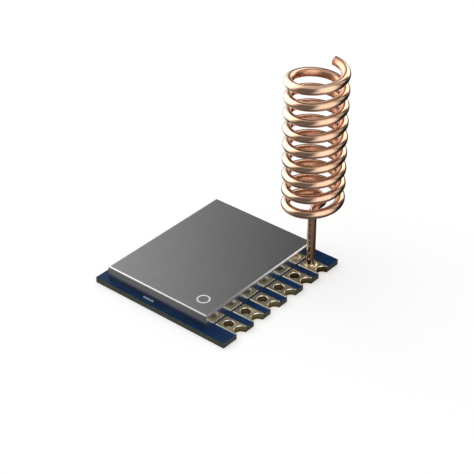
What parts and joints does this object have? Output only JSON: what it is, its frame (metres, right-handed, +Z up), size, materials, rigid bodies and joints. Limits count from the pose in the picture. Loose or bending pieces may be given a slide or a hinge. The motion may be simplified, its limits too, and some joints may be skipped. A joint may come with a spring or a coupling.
{
  "type": "radio receiver module",
  "caption": "Thin blue castellated circuit board with a brushed metal shield can and an upright coiled copper wire antenna soldered in its end pad.",
  "frame": {"origin": "centre of the board's underside", "axes": "+X along the row of pads towards the antenna, -Y towards the pad edge, +Z up through the board"},
  "size_m": [0.0184, 0.018, 0.0227],
  "materials": {
    "laminate": "cut glass-epoxy edge",
    "solder_mask": "dark blue solder mask",
    "pad_gold": "gold-plated copper",
    "bare_copper": "tinned copper land",
    "can_metal": "fine brushed",
    "solder": "bright solder",
    "copper_wire": "bright drawn copper",
    "chip_mould": "matt moulded epoxy",
    "crystal_ceramic": "unglazed ceramic",
    "crystal_lid_metal": "satin plated lid",
    "resistor_ceramic": "coated ceramic with tinned ends",
    "capacitor_ceramic": "tan ceramic with tinned ends",
    "inductor_ceramic": "grey ceramic with tinned ends",
    "mark_ink": "thin white printed ink"
  },
  "bodies": {
    "root": {"pcb_laminate": "laminate", "solder_mask_top": "solder_mask", "solder_mask_bottom": "solder_mask", "component_lands": "bare_copper", "can_lands": "bare_copper", "pad_1": "pad_gold", "pad_2": "pad_gold", "pad_3": "pad_gold", "pad_4": "pad_gold", "pad_5": "pad_gold", "pad_6": "pad_gold", "antenna_wire": "copper_wire", "antenna_solder": "solder", "shield_can": "can_metal", "can_solder_left": "solder", "can_solder_right": "solder", "can_solder_back": "solder", "receiver_chip": "chip_mould", "chip_contacts": "bare_copper", "crystal_base": "crystal_ceramic", "crystal_lid": "crystal_lid_metal", "inductor_1": "inductor_ceramic", "inductor_2": "inductor_ceramic", "inductor_3": "inductor_ceramic", "resistor_1": "resistor_ceramic", "resistor_2": "resistor_ceramic", "resistor_3": "resistor_ceramic", "capacitor_1": "capacitor_ceramic", "capacitor_2": "capacitor_ceramic", "capacitor_3": "capacitor_ceramic", "capacitor_4": "capacitor_ceramic", "capacitor_5": "capacitor_ceramic", "capacitor_6": "capacitor_ceramic", "capacitor_7": "capacitor_ceramic", "capacitor_8": "capacitor_ceramic"}
  },
  "joints": []
}
